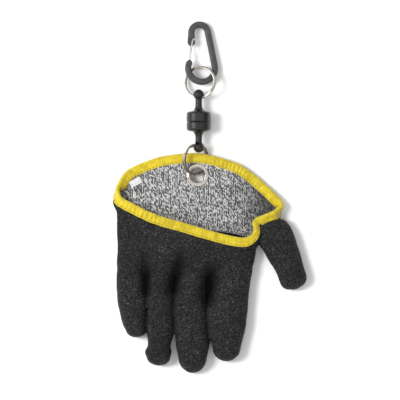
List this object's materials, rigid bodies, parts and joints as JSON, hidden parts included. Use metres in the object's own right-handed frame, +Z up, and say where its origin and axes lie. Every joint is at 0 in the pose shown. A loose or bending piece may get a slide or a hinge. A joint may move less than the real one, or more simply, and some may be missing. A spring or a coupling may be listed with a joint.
{
  "type": "fishing glove",
  "caption": "Coated knit fishing glove with a yellow bound cuff, a metal eyelet, split rings, a magnetic quick release and a small spring clip.",
  "frame": {"origin": "centre of the bounding box in X and Y, on the surface the glove lies on", "axes": "+Y from the fingertips to the clip, +X to the thumb side, +Z up, out of the back of the hand"},
  "size_m": [0.1658, 0.2984, 0.0205],
  "materials": {
    "coated_knit": "crinkled matte latex coat over a knit lining",
    "binding_tape": "ribbed woven tape, satin yellow",
    "woven_label": "plain white woven label",
    "nickel": "polished nickel plate",
    "black_plastic": "fine satin moulded plastic",
    "anodised_aluminium": "dark grey anodised, satin",
    "steel_wire": "drawn bright wire"
  },
  "bodies": {
    "glove": {"glove_shell": "coated_knit", "hem_binding": "binding_tape", "size_label": "woven_label", "grommet_front": "nickel", "grommet_back": "nickel", "lower_ring": "nickel", "release_lower": "black_plastic"},
    "release": {"release_upper": "black_plastic", "upper_ring": "nickel", "clip_body": "anodised_aluminium"},
    "gate": {"clip_gate": "steel_wire"}
  },
  "joints": [
    {"name": "magnet_pull", "type": "slide", "parent": "glove", "child": "release", "axis": [0, 1, 0], "range_m": [0, 0.02], "stiffness_N_per_m": 300},
    {"name": "gate_swing", "type": "hinge", "parent": "release", "child": "gate", "pos_m": [-0.01669, 0.10945, 0.00901], "axis": [-0.1813, -0.0833, -0.9799], "range_deg": [0, 18], "stiffness_Nm_per_rad": 0.05}
  ]
}
